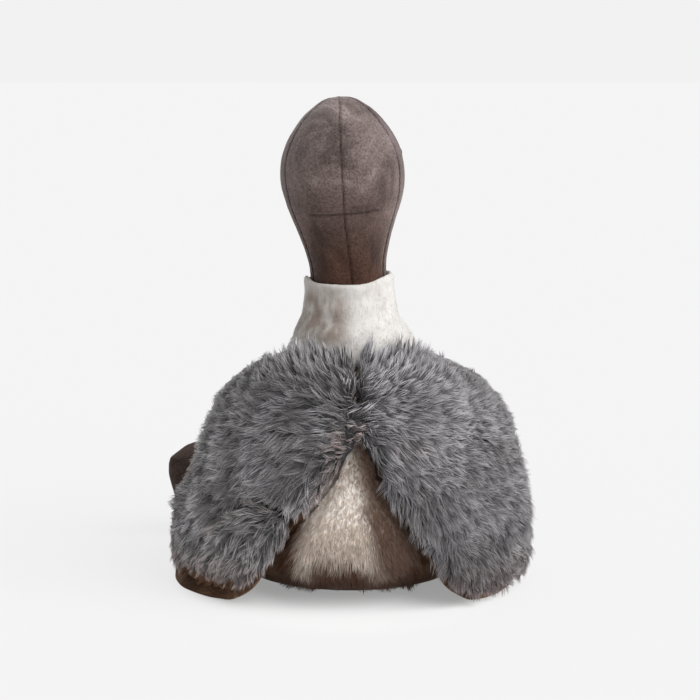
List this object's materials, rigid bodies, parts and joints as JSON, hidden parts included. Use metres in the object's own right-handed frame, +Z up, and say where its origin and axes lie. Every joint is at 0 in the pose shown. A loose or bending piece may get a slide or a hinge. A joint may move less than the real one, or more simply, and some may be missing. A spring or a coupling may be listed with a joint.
{
  "type": "plush ibis",
  "caption": "Seated stuffed wading bird with a long curved bill, shaggy grey wings, a cream fur neck and body, and a velvet head, legs, feet and seat.",
  "frame": {"origin": "on the flat underside of the seat panel, on the body's axis", "axes": "+Z up, the bird faces -Y, its left is +X"},
  "size_m": [0.3213, 0.3063, 0.412],
  "materials": {
    "head": "short-pile velvet",
    "bill": "short-pile velvet",
    "neck": "cream faux fur",
    "body": "cream faux fur",
    "tail": "cream faux fur",
    "seat_panel": "short-pile velvet",
    "wing_left": "long-pile grey faux fur",
    "wing_right": "long-pile grey faux fur",
    "wing_lining_left": "short-pile velvet",
    "wing_lining_right": "short-pile velvet",
    "leg_left": "short-pile velvet",
    "leg_right": "short-pile velvet",
    "foot_left": "short-pile velvet",
    "foot_right": "short-pile velvet",
    "eye_left": "polished black",
    "eye_right": "polished black",
    "eye_washer_left": "white moulded",
    "eye_washer_right": "white moulded"
  },
  "bodies": {
    "root": {"head": "head", "bill": "bill", "neck": "neck", "body": "body", "tail": "tail", "seat_panel": "seat_panel", "wing_left": "wing_left", "wing_right": "wing_right", "wing_lining_left": "wing_lining_left", "wing_lining_right": "wing_lining_right", "leg_left": "leg_left", "leg_right": "leg_right", "foot_left": "foot_left", "foot_right": "foot_right", "eye_left": "eye_left", "eye_right": "eye_right", "eye_washer_left": "eye_washer_left", "eye_washer_right": "eye_washer_right"}
  },
  "joints": []
}
